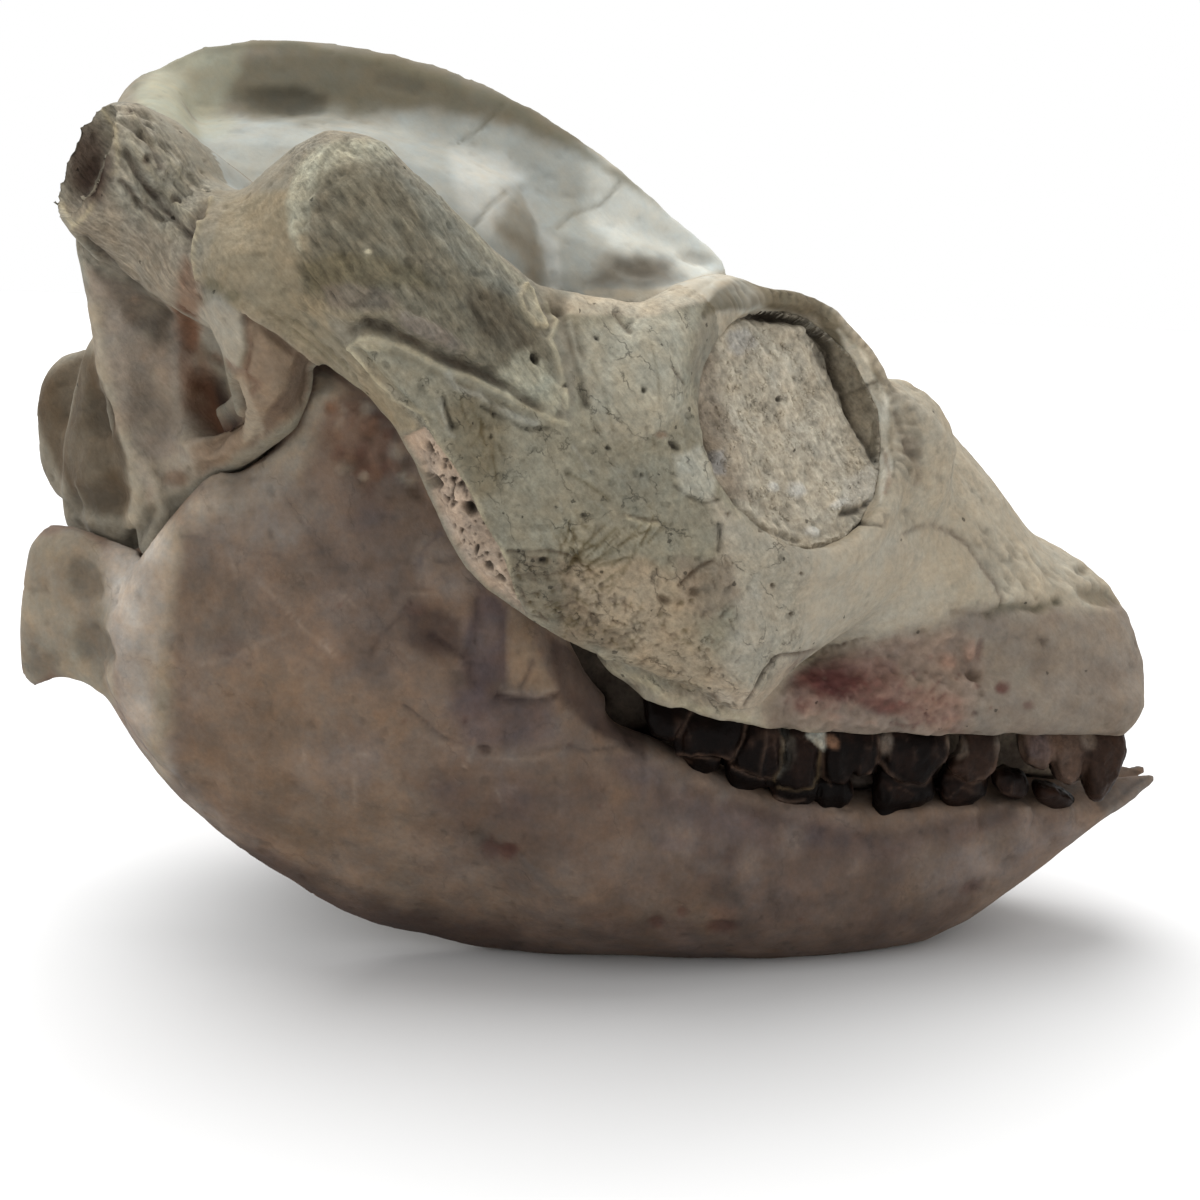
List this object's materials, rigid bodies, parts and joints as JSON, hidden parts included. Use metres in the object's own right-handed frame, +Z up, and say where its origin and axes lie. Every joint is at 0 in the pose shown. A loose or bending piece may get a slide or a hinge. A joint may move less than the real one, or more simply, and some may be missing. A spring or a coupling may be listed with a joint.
{
  "type": "fossil oreodont skull",
  "caption": "Fossil skull of a small deep-jawed oreodont with its lower jaw closed and rock in the eye sockets, lying on the lower borders of the jaw.",
  "frame": {"origin": "on the floor under the middle of the skull's box, with the skull lying as it does in the picture", "axes": "+X forward to the snout, +Y to the animal's left, +Z up"},
  "size_m": [0.1374, 0.0958, 0.1053],
  "materials": {
    "bone": "matt mineralised bone, greenish grey with pinkish brown",
    "jaw_bone": "matt to slightly satin mineralised bone, mauve brown",
    "rock": "rough matt siltstone, pinkish beige"
  },
  "bodies": {
    "root": {"braincase": "bone", "snout": "bone", "zygomatic_arch_left": "bone", "zygomatic_arch_right": "bone", "ear_tube_left": "bone", "ear_tube_right": "bone", "mandible_left": "jaw_bone", "mandible_right": "jaw_bone", "jaw_rock": "rock", "orbit_matrix_left": "rock", "orbit_matrix_right": "rock"}
  },
  "joints": []
}
